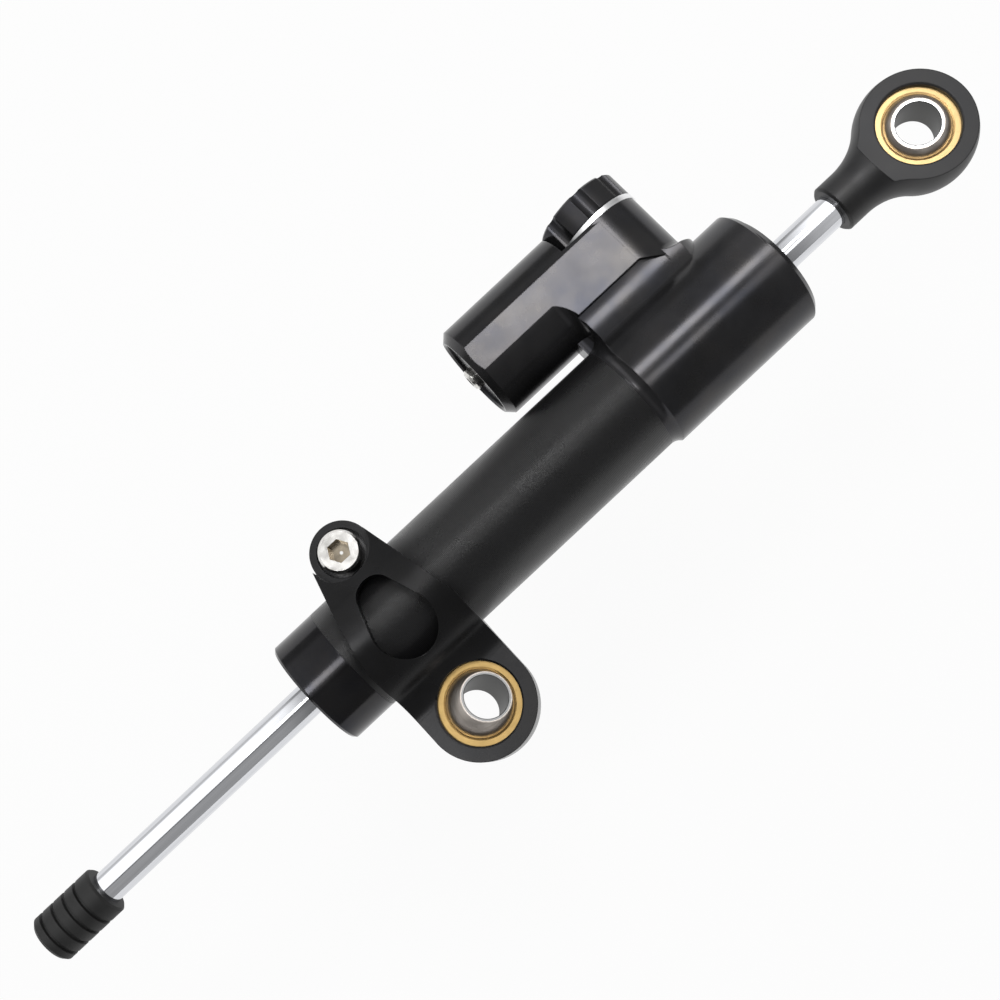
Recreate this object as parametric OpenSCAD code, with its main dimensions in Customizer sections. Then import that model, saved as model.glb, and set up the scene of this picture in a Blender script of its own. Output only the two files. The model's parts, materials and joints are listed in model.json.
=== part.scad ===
// Motorcycle steering damper with a through rod, a piggyback reservoir and a click adjuster.
// Millimetres. The origin is the centre of the spherical bearing that bolts to the frame.
// +X runs along the damper towards the rod eye, +Y from the frame eye towards the reservoir.
// +Z points out of the flat faces of both eyes.

/* [Cylinder] */
// Outside diameter of the cylinder tube and the gland cap
tube_d = 27.8; // [26.6:0.1:29]
// Wall of the cylinder tube
tube_wall = 2.5; // [2:0.1:2.8]
// Radial width of the oil passage between the tube and the inner cylinder
oil_passage = 1.5; // [1:0.1:2]
// Wall of the inner cylinder
inner_wall = 1.5; // [1.2:0.1:1.9]
// Length of bare tube between the gland cap and the housing
tube_show = 86.7; // [82:0.1:110]
// Length of the gland cap's outer band
cap_len = 11.7; // [10.5:0.1:14]
// Length of the gland cap's spigot inside the tube
cap_spigot_len = 8; // [6:0.5:9]
// Length of the tube's spigot inside the housing
tube_spigot_len = 13; // [10:0.5:14]
// Radial step down to the tube's spigot
tube_spigot_step = 1.2; // [0.8:0.1:1.3]

/* [Housing] */
// Outside diameter of the housing's barrel
head_d = 30.2; // [29.8:0.1:31.6]
// Length of the housing's barrel
head_len = 44.4; // [43:0.1:50]
// Radius of the hollow that blends the housing's front into the tube and the reservoir
front_r = 3.5; // [2.5:0.1:4]
// Half width of the land that closes the slit between the tube and the reservoir
slit_land = 7.5; // [6:0.1:8]
// Chamfer on the far end of the barrel
head_chamfer = 1.2; // [0.5:0.1:1.6]
// Thickness of the block across its two flats
block_t = 24; // [22:0.2:24.6]
// Radius of the hollow that blends the barrel into the block
valley_r = 18; // [16:0.5:20]
// Depth of that hollow below the flat
valley_sink = 1.5; // [1.3:0.1:1.8]
// Distance from the tube's axis to the edge of the flat
flat_edge_y = 19.7; // [19:0.1:21]
// How far the barrel is raised towards the adjuster beyond the block
stub_raise = 1.5; // [1:0.1:1.8]
// Distance from the barrel's end back to the end of that raised stub
stub_back = 0.5; // [0.3:0.1:1]
// Distance from the housing's front to the centre of the block's round end
block_len = 21.35; // [21:0.05:22]
// Distance from the housing's front to the adjuster's axis
boss_from_front = 22.35; // [22:0.05:22.8]
// Height of the adjuster boss above the tube's axis
boss_h = 33.2; // [32:0.1:34.5]
// Radius of the flare at the foot of the boss
flare_r = 2.4; // [1:0.1:3]

/* [Reservoir] */
// Outside diameter of the reservoir
reservoir_d = 25; // [24.8:0.1:26]
// Distance from the tube's axis to the reservoir's axis
reservoir_y = 28.8; // [28.6:0.1:30]
// Length of the reservoir in front of the housing's front face
reservoir_reach = 21.9; // [21:0.1:24]
// Chamfer on the reservoir's end
reservoir_chamfer = 1.75; // [1:0.05:2]
// Diameter of the reservoir's chamber
chamber_d = 17; // [15:0.5:18]
// Thickness of the screwed plug
plug_t = 6; // [5:0.5:7]
// How far the plug sits inside the reservoir's end
plug_recess = 1; // [0.5:0.1:1.5]
// Diameter of the plug
plug_d = 19.6; // [19:0.1:20.4]
// Length of the compensating piston
comp_len = 6; // [5:0.5:7]
// Free travel of the compensating piston towards the valve at rest
comp_oil_len = 3.8; // [3.3:0.1:5]
// Wire of the compensating spring
comp_wire = 1.2; // [0.8:0.1:1.5]
// Turns of the compensating spring
comp_turns = 5; // [4:1:6]

/* [Rod] */
// Diameter of the piston rod
rod_d = 8; // [7:0.5:8.5]
// Bare rod between the end stop and the gland cap at rest
rod_show_stop = 65.4; // [60:0.1:75]
// Bare rod between the housing and the rod eye at rest
rod_show_eye = 19.1; // [18.6:0.1:25]
// Length of the piston
piston_len = 10; // [8:0.5:11]
// Distance from the gland cap's inner face to the middle of the piston at rest
piston_rest = 27.3; // [26:0.1:29]
// Section of the piston's ring, along the rod
piston_ring_w = 2.5; // [1.5:0.1:3.5]

/* [Rod guides] */
// Outside diameter of each guide bush
bush_d = 12; // [11:0.1:12.8]
// Length of the bush in the gland cap
lower_bush_len = 11.9; // [10:0.1:12.5]
// Length of the bush in the housing
upper_bush_len = 10; // [8:0.1:11]
// Outside diameter of each rod seal and wiper
seal_d = 14; // [13.4:0.1:15]
// Length of each rod seal
seal_len = 4; // [3:0.1:4.4]
// Length of each wiper
wiper_len = 2.6; // [2:0.1:2.8]
// Thickness of each retaining ring
retainer_t = 1; // [0.8:0.1:1.1]

/* [End stop] */
// Diameter of the rubber end stop
stop_d = 12.3; // [11.5:0.1:14]
// Length of the end stop
stop_len = 17.3; // [16.6:0.1:20]
// Number of ribs on the end stop
stop_ribs = 5; // [4:1:5]
// Pitch of the ribs
rib_pitch = 3.38; // [3:0.02:3.5]
// Width of the grooves between the ribs
groove_w = 0.9; // [0.5:0.1:1.4]
// Depth of those grooves
groove_depth = 0.8; // [0.4:0.1:1.2]

/* [Spherical bearings] */
// Bore of each ball, for the mounting bolt
ball_bore_d = 10.1; // [8.1:0.1:10.3]
// Diameter of each ball
ball_d = 16.8; // [16.4:0.1:17]
// Width of each ball
ball_w = 12; // [11:0.1:12.4]
// Outside diameter of each brass race
race_d = 19; // [18.6:0.1:19.6]
// Width of each race
race_w = 7.4; // [7:0.1:9]
// Bevel round the mouth of each race
race_bevel = 0.6; // [0.3:0.1:0.8]
// Tilt of the ball in the frame eye at rest, in degrees
frame_tilt = 21; // [0:1:24]
// Tilt of the ball in the rod eye at rest, in degrees
rod_tilt = -5.5; // [-16:0.5:0]

/* [Rod eye] */
// Diameter of the turned bulb
bulb_d = 28.1; // [27:0.1:30]
// Thickness across the milled faces
rod_eye_t = 10; // [9.4:0.1:11]
// Diameter of the neck
neck_d = 12.2; // [11.4:0.1:13]
// Distance from the mouth of the neck to the eye's centre
neck_len = 25.9; // [24.9:0.1:30]
// Radius of the blend from the neck into the bulb
neck_blend_r = 16; // [10:0.5:18]
// Radius of the cutter path that mills each face
eye_cut_r = 14.6; // [14.2:0.1:15]

/* [Frame clamp] */
// Distance from the lower end of the gland cap to the clamp's centre
clamp_from_end = 26.5; // [25.4:0.1:34]
// Distance from the tube's axis to the frame eye
eye_offset = 27.8; // [27.4:0.1:32]
// Radius of the frame eye
frame_eye_r = 13; // [12.6:0.1:14]
// Thickness of the frame eye
frame_eye_t = 10; // [9.4:0.1:11]
// Distance from the tube's axis to the pinch screw
screw_offset = 18.5; // [18.5:0.1:20]
// Radius of the ear round the pinch screw
ear_r = 7.5; // [7:0.1:8]
// Thickness of the ear
ear_t = 12; // [11.4:0.2:14]
// Wall of the clamp's ring over the tube
ring_wall = 3.5; // [3:0.1:4]
// Half width of the clamp at its widest, beside the tube
waist_r = 13.1; // [12.5:0.1:13.8]
// Distance of the widest part from the tube's axis, towards the frame eye
waist_offset = 8.8; // [8:0.1:10.4]
// Radius of the blend between the ring and the frame eye
ring_blend_r = 8; // [4:0.5:9]
// Width of the split beside the pinch screw
split_w = 2; // [1:0.1:2.4]
// Radius of the window's small end
window_small_r = 4.6; // [3:0.1:5.2]
// Distance of the small end from the tube's axis
window_small_y = 3.7; // [2:0.1:4.2]
// Radius of the window's large end
window_large_r = 7.4; // [5.4:0.1:8]
// Distance of the large end from the tube's axis, towards the frame eye
window_large_y = 5.1; // [3:0.1:6]
// Thread diameter of the pinch screw
pinch_d = 6; // [5:0.5:6]
// Diameter of the pinch screw's head
pinch_head_d = 10; // [9.4:0.1:10]
// Height of the pinch screw's head
pinch_head_h = 5; // [4:0.5:6]
// Depth of the counterbore for the head
pinch_sink = 2; // [1.4:0.1:2]

/* [Adjuster] */
// Diameter of the adjuster knob
knob_d = 22.4; // [21.6:0.1:23]
// Height of the knob
knob_h = 6.8; // [6.6:0.1:8.4]
// Number of grip notches round the knob
knob_notches = 8; // [6:1:12]
// Depth of each grip notch
notch_depth = 1.1; // [0.6:0.1:1.5]
// Radius of each grip notch
notch_r = 2.2; // [1.6:0.1:3]
// Diameter of the bright ring under the knob
ring_d = 22.6; // [21.6:0.1:23]
// Thickness of the bright ring
ring_t = 1.4; // [1.2:0.1:1.8]
// Number of click dimples in the bright ring
clicks = 20; // [12:1:24]
// Radius of the circle of click dimples
click_circle_r = 8; // [7.4:0.1:8.6]
// Diameter of the click ball
click_ball_d = 2.9; // [2.4:0.1:3]
// Diameter of the valve cartridge
valve_d = 14; // [13:0.1:15]
// Height of the cartridge's foot above the tube's axis
valve_foot = 19; // [18.4:0.1:20]
// Diameter of the adjuster's spindle
spindle_d = 5; // [4.4:0.1:5.4]
// Diameter of the needle's guided part
needle_d = 6; // [5.6:0.1:6.4]
// Diameter of the needle's tip
needle_tip_d = 2.4; // [2:0.1:2.6]

/* [Clearances] */
// Radial clearance of parts that turn or slide in each other
run_gap = 0.05; // [0.02:0.01:0.09]
// Radial clearance of parts that are screwed or pushed together
seat_gap = 0.02; // [0.01:0.01:0.04]
// Clearance between the knob and the step cut into the reservoir for it
knob_clear = 0.3; // [0.2:0.1:0.8]

/* [Hidden] */
$fn = 96;

// Colours
anodised_black = [0.045, 0.045, 0.05];
rubber_black = [0.03, 0.03, 0.03];
chrome_grey = [0.82, 0.83, 0.85];
steel_grey = [0.62, 0.63, 0.65];
brass_gold = [0.80, 0.62, 0.28];
seal_green = [0.10, 0.28, 0.20];
bare_alloy = [0.78, 0.78, 0.80];

// Overlap where one round wall runs into another along a tangent
tuck = 0.02;

// Radii worked out from the sizes above
tube_r = tube_d / 2;
tube_bore_r = tube_r - tube_wall;
tube_spigot_r = tube_r - tube_spigot_step;
inner_r = tube_bore_r - oil_passage;
bore_r = inner_r - inner_wall;
head_r = head_d / 2;
block_z = block_t / 2;
reservoir_r = reservoir_d / 2;
rod_r = rod_d / 2;
knob_r = knob_d / 2;
ball_r = ball_d / 2;
race_r = race_d / 2;
bulb_r = bulb_d / 2;
valve_r = valve_d / 2;
chamber_r = chamber_d / 2;
plug_r = plug_d / 2;
bush_r = bush_d / 2;
seal_r = seal_d / 2;
stop_r = stop_d / 2;

// Stations along the damper, measured from the clamp's centre
cap_x0 = -clamp_from_end;
cap_x1 = cap_x0 + cap_len;
cap_x2 = cap_x1 + cap_spigot_len;
nose_len = 2;
chamber_x0 = cap_x2 + nose_len;
head_x0 = cap_x1 + tube_show;
head_x1 = head_x0 + head_len;
wall_x = head_x0 + front_r;
end_x = head_x0 + block_len;
boss_x = head_x0 + boss_from_front;
tube_x1 = head_x0 + tube_spigot_len;
gallery_len = 4;
port_r = 1.2;
inner_seat_len = 2;
inner_x1 = tube_x1 + gallery_len + inner_seat_len;
mouth_recess = 0.8;
lip_len = 2;
lip_clear = 0.5;
upper_bush_x = head_x1 - mouth_recess - retainer_t - wiper_len - seal_len - upper_bush_len;
chamber_x1 = upper_bush_x - lip_len;
lower_bush_x = cap_x2 - lower_bush_len;
rod_x0 = cap_x0 - rod_show_stop - stop_len + 1.8;
stop_x1 = cap_x0 - rod_show_stop;
neck_x = head_x1 + rod_show_eye;
rod_eye_x = neck_x + neck_len;
rod_x1 = rod_eye_x - race_r - 3;
piston_x = chamber_x0 + piston_rest;
reservoir_x0 = head_x0 - reservoir_reach;
plug_x = reservoir_x0 + plug_recess;
spring_x = plug_x + plug_t;
pocket_x = boss_x - knob_r - knob_clear;
chamber_end_x = pocket_x - 2;
comp_x = chamber_end_x - comp_oil_len - comp_len;

// Centre of the hollow that is tangent to the barrel and dips below the flat
valley_z = block_z - valley_sink + valley_r;
valley_y = sqrt(pow(head_r + valley_r, 2) - pow(valley_z, 2));
tangent_z = head_r * valley_z / (head_r + valley_r);

// Height of the raised stub, where the boss stands on it
stub_top = head_r + stub_raise;

// Heights above the tube's axis inside the adjuster
seat_t = 2;
needle_low = valve_foot + 1.5;
spindle_low = boss_h - 4;
needle_shoulder = spindle_low - 1.7;
needle_guide_low = needle_shoulder - 2.5;
flange_t = 1.8;
ring_low = boss_h;
knob_gap = 0.2;
knob_low = boss_h + ring_t + knob_gap;
knob_top = knob_low + knob_h;
knob_dish_depth = 1.5;
dish_floor = knob_top - knob_dish_depth;
spindle_top = dish_floor - 1.6;
click_hole_top = dish_floor - 0.9;
needle_stem_r = 1.5;
spindle_recess_r = spindle_d / 2 + 2;

// Moves a part drawn about the tube's axis to its place beside the frame eye
module on_axis() {
  translate([0, eye_offset, 0]) children();
}

// Turns a part drawn along Z to lie along the damper, starting at station x
module along_x(x) {
  translate([x, 0, 0]) rotate([0, 90, 0]) children();
}

// Turns a part drawn along Z to stand along the adjuster, starting at height y
module along_y(x, y) {
  translate([x, y, 0]) rotate([-90, 0, 0]) children();
}

// A rod or bore along the damper between two stations
module bar_x(x0, x1, r) {
  along_x(x0) cylinder(h = x1 - x0, r = r);
}

// A rod or bore along the adjuster between two heights
module bar_y(x, y0, y1, r) {
  along_y(x, y0) cylinder(h = y1 - y0, r = r);
}

// A ring along the damper
module sleeve_x(x0, x1, r_out, r_in) {
  difference() {
    bar_x(x0, x1, r_out);
    bar_x(x0 - 1, x1 + 1, r_in);
  }
}

// Extrudes a profile drawn in the plane across the damper, from x0 to x1
module section_x(x0, x1) {
  translate([x0, 0, 0]) rotate([90, 0, 90]) linear_extrude(height = x1 - x0) children();
}

// A rubber ring of round section about Z
module oring(ring_r, section_r) {
  rotate_extrude() translate([ring_r, 0]) circle(r = section_r, $fn = 32);
}

// A wire coil about Z, as a tube swept along a helix
module coil(coil_r, wire_r, turns, height, sides = 8, steps = 16) {
  rings = turns * steps;
  points = [
    for (i = [0:rings])
      let (turn = 360 * i / steps, z = wire_r + (height - 2 * wire_r) * i / rings)
        for (k = [0:sides - 1])
          let (a = 360 * k / sides, r = coil_r + wire_r * cos(a))
            [r * cos(turn), r * sin(turn), z + wire_r * sin(a)]
  ];
  walls = [
    for (i = [0:rings - 1], k = [0:sides - 1])
      let (a = i * sides + k, b = i * sides + (k + 1) % sides)
        [a, b, b + sides, a + sides]
  ];
  first = [for (k = [0:sides - 1]) sides - 1 - k];
  last = [for (k = [0:sides - 1]) rings * sides + k];
  polyhedron(points = points, faces = concat(walls, [first, last]), convexity = 6);
}

// Housing: barrel, block, reservoir and adjuster boss machined from one piece
module hollow(side) {
  translate([0, valley_y, side * valley_z])
    bar_x(head_x0 - 1, head_x1 + 1, valley_r + tuck);
}

module neck(x0, x1) {
  y1 = flat_edge_y + 1.5;
  difference() {
    section_x(x0, x1)
      polygon([[0, -tangent_z], [y1, -tangent_z], [y1, tangent_z], [0, tangent_z]]);
    hollow(-1);
    hollow(1);
  }
}

module flats(x0, x1) {
  section_x(x0, x1)
    translate([flat_edge_y, -block_z]) square([reservoir_y - flat_edge_y, block_t]);
}

// Hollow collar that runs out on a cylinder of radius r where the housing starts
module front_collar(r) {
  along_x(head_x0) rotate_extrude() difference() {
    square([r + front_r, front_r + 1]);
    translate([r + front_r, 0]) circle(r = front_r);
  }
}

// Land that closes the slit between the tube and the reservoir
module front_land() {
  y0 = tube_r - 2;
  y1 = reservoir_y - reservoir_r + 3;
  translate([0, y1, 0]) rotate([90, 0, 0]) linear_extrude(height = y1 - y0) difference() {
    translate([head_x0, -slit_land]) square([front_r + 1, 2 * slit_land]);
    for (side = [-1, 1])
      translate([head_x0, side * slit_land]) circle(r = front_r);
  }
}

module housing_front() {
  intersection() {
    union() {
      bar_x(head_x0, wall_x + 1, head_r);
      neck(head_x0, wall_x + 1);
      flats(head_x0, wall_x + 1);
    }
    union() {
      front_collar(tube_r);
      translate([0, reservoir_y, 0]) front_collar(reservoir_r - tuck);
      front_land();
    }
  }
}

module barrel_outside() {
  bar_x(wall_x - tuck, head_x1 - head_chamfer, head_r);
  along_x(head_x1 - head_chamfer)
    cylinder(h = head_chamfer, r1 = head_r, r2 = head_r - head_chamfer);
}

// The barrel's far end, raised towards the adjuster, with a taper where it starts
module raised_stub() {
  taper_x = end_x + 2;
  taper_len = 7;
  stub_x1 = head_x1 - stub_back;
  translate([0, stub_raise, 0]) {
    along_x(taper_x) cylinder(h = taper_len, r1 = head_r - 1.2, r2 = head_r);
    bar_x(taper_x + taper_len, stub_x1 - head_chamfer, head_r);
    along_x(stub_x1 - head_chamfer)
      cylinder(h = head_chamfer, r1 = head_r, r2 = head_r - head_chamfer);
  }
}

module block_outside() {
  neck(wall_x - tuck, end_x);
  flats(wall_x - tuck, end_x);
}

// The boss rounds off the block's end, and the hollow runs out under its foot
module boss_outside() {
  foot_x = end_x + 5.5;
  difference() {
    bar_y(end_x, 0, boss_h, block_z - tuck);
    for (side = [-1, 1]) intersection() {
      hollow(side);
      linear_extrude(height = 4 * block_t, center = true) polygon([
        [head_x0, 0], [foot_x, 0], [foot_x, stub_top], [end_x + 0.5, flat_edge_y],
        [head_x0, flat_edge_y]
      ]);
    }
  }
  intersection() {
    neck(end_x - 1, head_x1 - stub_back);
    along_y(end_x, 0) rotate_extrude() difference() {
      square([block_z + flare_r, stub_top + flare_r]);
      translate([block_z + flare_r - 2 * tuck, stub_top + flare_r]) circle(r = flare_r);
    }
  }
}

module reservoir_outside() {
  intersection() {
    translate([0, reservoir_y, 0]) union() {
      along_x(reservoir_x0)
        cylinder(h = reservoir_chamfer, r1 = reservoir_r - reservoir_chamfer, r2 = reservoir_r);
      bar_x(reservoir_x0 + reservoir_chamfer, end_x, reservoir_r);
    }
    translate([reservoir_x0 - 1, 0, -block_z])
      cube([end_x - reservoir_x0 + 1, 2 * reservoir_y, block_t]);
  }
}

module housing_bores() {
  bar_x(head_x0 - 1, tube_x1, tube_spigot_r + seat_gap);
  bar_x(tube_x1 - 1, tube_x1 + gallery_len, tube_bore_r);
  bar_x(tube_x1, inner_x1, inner_r + seat_gap);
  bar_x(inner_x1 - 1, chamber_x1, bore_r);
  bar_x(chamber_x1 - 1, head_x1 + 1, rod_r + lip_clear);
  bar_x(upper_bush_x, head_x1 + 1, bush_r + seat_gap);
  bar_x(upper_bush_x + upper_bush_len, head_x1 + 1, seal_r + seat_gap);
  bar_x(head_x1 - mouth_recess - retainer_t, head_x1 - mouth_recess, seal_r + 0.6);
  along_x(head_x0 + 0.6 * tube_spigot_len) oring_groove(tube_spigot_r, 1.3);
  bar_y(boss_x, valve_foot, boss_h + 1, valve_r + seat_gap);
  bar_y(boss_x, 0, valve_foot + 1, port_r);
  bar_y(tube_x1 + gallery_len - port_r, inner_r, valve_foot + 5, port_r);
}

module oring_groove(wall_r, depth) {
  difference() {
    cylinder(h = 1.8, r = wall_r + depth);
    translate([0, 0, -1]) cylinder(h = 4, r = wall_r - 1);
  }
}

module reservoir_bores() {
  translate([0, reservoir_y, 0]) {
    bar_x(reservoir_x0 - 1, spring_x, plug_r + seat_gap);
    bar_x(spring_x - 1, chamber_end_x, chamber_r);
    along_x(reservoir_x0 - 0.01)
      cylinder(h = plug_recess / 2, r1 = plug_r + plug_recess / 2, r2 = plug_r);
  }
  translate([0, reservoir_y - 3, 0]) bar_x(chamber_end_x - 1, boss_x - valve_r + 1, port_r);
}

module housing() color(anodised_black) on_axis() difference() {
  union() {
    housing_front();
    barrel_outside();
    raised_stub();
    block_outside();
    reservoir_outside();
    boss_outside();
  }
  housing_bores();
  reservoir_bores();
  translate([pocket_x, boss_h, -block_t]) cube([3 * knob_r, reservoir_d, 2 * block_t]);
}

// Cylinder: outer tube, inner cylinder and the gland cap that closes the lower end
module cylinder_tube() color(anodised_black) on_axis() difference() {
  union() {
    bar_x(cap_x1, head_x0, tube_r);
    bar_x(head_x0 - 1, tube_x1, tube_spigot_r);
  }
  bar_x(cap_x1 - 1, tube_x1 + 1, tube_bore_r);
}

module inner_cylinder() color(steel_grey) on_axis() difference() {
  sleeve_x(cap_x2, inner_x1, inner_r, bore_r);
  for (turn = [0:90:270])
    translate([chamber_x0 + 1.2, 0, 0]) rotate([turn, 0, 0]) cylinder(h = tube_r, r = 0.9);
}

module gland_cap() color(anodised_black) on_axis() difference() {
  union() {
    along_x(cap_x0) cylinder(h = 0.6, r1 = tube_r - 0.6, r2 = tube_r);
    bar_x(cap_x0 + 0.6, cap_x1, tube_r);
    bar_x(cap_x1 - 1, cap_x2, tube_bore_r - seat_gap);
    bar_x(cap_x2 - 1, chamber_x0, bore_r - seat_gap);
  }
  bar_x(cap_x0 - 1, chamber_x0 + 1, rod_r + lip_clear);
  bar_x(cap_x0 - 1, cap_x2, bush_r + seat_gap);
  bar_x(cap_x0 - 1, lower_bush_x, seal_r + seat_gap);
  bar_x(lower_retainer_x(), lower_retainer_x() + retainer_t, seal_r + 0.6);
  along_x(cap_x1 + cap_spigot_len / 2 - 0.9) difference() {
    cylinder(h = 1.8, r = tube_bore_r + 1);
    translate([0, 0, -1]) cylinder(h = 4, r = tube_bore_r - 1.4);
  }
  for (side = [-1, 1])
    translate([0, side * 0.75 * tube_r, 0]) bar_x(cap_x0 - 1, cap_x0 + 3, 1.25);
}

module cap_oring() color(rubber_black) on_axis()
  along_x(cap_x1 + cap_spigot_len / 2) oring(tube_bore_r - 0.7, 0.65);

module housing_oring() color(rubber_black) on_axis()
  along_x(head_x0 + 0.6 * tube_spigot_len + 0.9) oring(tube_spigot_r + 0.66, 0.6);

// Rod guides: bush, seal, wiper and retaining ring at each end
function lower_retainer_x() = lower_bush_x - seal_len - wiper_len - retainer_t;

module rod_bush(x0, len) color(brass_gold) on_axis()
  sleeve_x(x0, x0 + len, bush_r, rod_r + run_gap);

module rod_seal(x0) color(seal_green) on_axis() difference() {
  sleeve_x(x0, x0 + seal_len, seal_r, rod_r + run_gap);
  along_x(x0 + seal_len / 4) difference() {
    cylinder(h = seal_len / 2, r = rod_r + 1);
    translate([0, 0, -1]) cylinder(h = seal_len, r = rod_r - 1);
  }
}

module rod_wiper(x0) color(rubber_black) on_axis()
  sleeve_x(x0, x0 + wiper_len, seal_r, rod_r + run_gap);

module retaining_ring(x0) color(steel_grey) on_axis() difference() {
  sleeve_x(x0, x0 + retainer_t, seal_r + 0.5, seal_r - 1.2);
  translate([x0 - 1, -1.5, seal_r - 3]) cube([retainer_t + 2, 3, 6]);
}

module lower_bush() rod_bush(lower_bush_x, lower_bush_len);
module lower_seal() rod_seal(lower_bush_x - seal_len);
module lower_wiper() rod_wiper(lower_bush_x - seal_len - wiper_len);
module lower_retainer() retaining_ring(lower_retainer_x());
module upper_bush() rod_bush(upper_bush_x, upper_bush_len);
module upper_seal() rod_seal(upper_bush_x + upper_bush_len);
module upper_wiper() rod_wiper(upper_bush_x + upper_bush_len + seal_len);
module upper_retainer() retaining_ring(head_x1 - mouth_recess - retainer_t);

// Rod, piston and end stop
clip_w = 0.9;
clip_depth = 0.6;
clip_slack = 0.05;

module rod_clip(x0) {
  difference() {
    sleeve_x(x0, x0 + clip_w, rod_r + 1.5, rod_r - clip_depth + seat_gap);
    translate([x0 - 1, -1.2, 0]) cube([clip_w + 2, 2.4, 2 * rod_r]);
  }
}

module piston_rod() color(chrome_grey) on_axis() difference() {
  union() {
    along_x(rod_x0) cylinder(h = 0.5, r1 = rod_r - 0.5, r2 = rod_r);
    bar_x(rod_x0 + 0.5, rod_x1, rod_r);
  }
  for (x = [piston_x - piston_len / 2 - clip_slack - clip_w, piston_x + piston_len / 2 + clip_slack])
    sleeve_x(x, x + clip_w, rod_r + 1, rod_r - clip_depth);
}

module piston_retainers() color(steel_grey) on_axis() {
  rod_clip(piston_x - piston_len / 2 - clip_slack - clip_w);
  rod_clip(piston_x + piston_len / 2 + clip_slack);
}

module piston() color(bare_alloy) on_axis() difference() {
  sleeve_x(piston_x - piston_len / 2, piston_x + piston_len / 2, bore_r - 2 * run_gap, rod_r + run_gap);
  sleeve_x(piston_x - piston_ring_w / 2, piston_x + piston_ring_w / 2, bore_r + 1, bore_r - 1.6);
}

module piston_ring() color(rubber_black) on_axis()
  sleeve_x(piston_x - piston_ring_w / 2, piston_x + piston_ring_w / 2,
    bore_r - run_gap, bore_r - 1.6 + seat_gap);

module end_stop() color(rubber_black) on_axis() difference() {
  union() {
    bar_x(stop_x1 - stop_len + 0.8, stop_x1 - 0.5, stop_r);
    along_x(stop_x1 - 0.5) cylinder(h = 0.5, r1 = stop_r, r2 = stop_r - 0.5);
    along_x(stop_x1 - stop_len) cylinder(h = 0.8, r1 = stop_r - 0.8, r2 = stop_r);
  }
  bar_x(rod_x0, stop_x1 + 1, rod_r + seat_gap);
  for (i = [0:stop_ribs - 2])
    along_x(stop_x1 - (rib_pitch + 0.9) - i * rib_pitch - groove_w / 2) rotate_extrude()
      polygon([
        [stop_r - groove_depth, 0.15], [stop_r + 1, -0.3], [stop_r + 1, groove_w + 0.3],
        [stop_r - groove_depth, groove_w - 0.15]
      ]);
}

// Rod eye: a turned bulb on a neck, milled flat on both sides
module rod_eye() {
  blend_y = neck_d / 2 + neck_blend_r;
  blend_x = -sqrt(pow(bulb_r + neck_blend_r, 2) - blend_y * blend_y);
  touch = bulb_r / (bulb_r + neck_blend_r);
  lip = 0.5;
  color(anodised_black) on_axis() translate([rod_eye_x, 0, 0]) difference() {
    union() {
      sphere(r = bulb_r);
      rotate([0, 90, 0]) rotate_extrude() difference() {
        polygon([
          [0, -neck_len], [neck_d / 2 - lip, -neck_len], [neck_d / 2, -neck_len + lip],
          [neck_d / 2, blend_x], [blend_y * touch, blend_x], [blend_y * touch, blend_x * touch],
          [0, blend_x * touch]
        ]);
        translate([blend_y, blend_x]) circle(r = neck_blend_r);
      }
    }
    for (side = [-1, 1])
      translate([0, 0, side * (rod_eye_t / 2 + bulb_r / 2)])
        cylinder(h = bulb_r, r = eye_cut_r, center = true);
    cylinder(h = 2 * bulb_r, r = race_r + seat_gap, center = true);
    bar_x(-neck_len - 1, rod_x1 - rod_eye_x, rod_r + seat_gap);
    for (side = [0, 180]) rotate([side, 0, 0])
      translate([0, 0, rod_eye_t / 2 - 0.4]) cylinder(h = 0.5, r1 = race_r, r2 = race_r + 0.5);
  }
}

// Spherical bearings, shared by both eyes
module bearing_race() color(brass_gold) difference() {
  cylinder(h = race_w, r = race_r, center = true);
  sphere(r = ball_r + run_gap);
  for (side = [0, 180]) rotate([side, 0, 0])
    translate([0, 0, race_w / 2 - race_bevel])
      cylinder(h = race_bevel + 0.01, r1 = race_mouth_r() - 0.2, r2 = race_mouth_r() + race_bevel);
}

function race_mouth_r() = sqrt(pow(ball_r + run_gap, 2) - pow(race_w / 2, 2));

module bearing_ball(tilt) color(chrome_grey) rotate([0, tilt, 0]) difference() {
  intersection() {
    sphere(r = ball_r);
    cube([2 * ball_d, 2 * ball_d, ball_w], center = true);
  }
  cylinder(h = 2 * ball_w, d = ball_bore_d, center = true);
}

module rod_race() translate([rod_eye_x, eye_offset, 0]) bearing_race();
module rod_ball() translate([rod_eye_x, eye_offset, 0]) bearing_ball(rod_tilt);
module frame_race() bearing_race();
module frame_ball() bearing_ball(frame_tilt);

// Frame clamp: a split ring with an eye on one side and a pinched ear on the other
clamp_reach = 2 * waist_r;
clamp_tall = 4 * tube_r;

function side_angle(r0, r1, gap) = asin((r1 - r0) / gap);

module disc_at(y, r) {
  translate([0, y, 0]) cylinder(h = clamp_tall, r = r, center = true);
}

module taper_between(y0, r0, y1, r1) {
  a = side_angle(r0, r1, y0 - y1);
  q0 = r0 - tuck;
  q1 = r1 - tuck;
  linear_extrude(height = clamp_tall, center = true) polygon([
    [q0 * cos(a), y0 + q0 * sin(a)], [q1 * cos(a), y1 + q1 * sin(a)],
    [-q1 * cos(a), y1 + q1 * sin(a)], [-q0 * cos(a), y0 + q0 * sin(a)]
  ]);
}

module clamp_plan() {
  disc_at(screw_offset, ear_r);
  taper_between(screw_offset, ear_r, -waist_offset, waist_r);
  disc_at(-waist_offset, waist_r);
  taper_between(-waist_offset, waist_r, -eye_offset, frame_eye_r);
  disc_at(-eye_offset, frame_eye_r);
}

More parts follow.
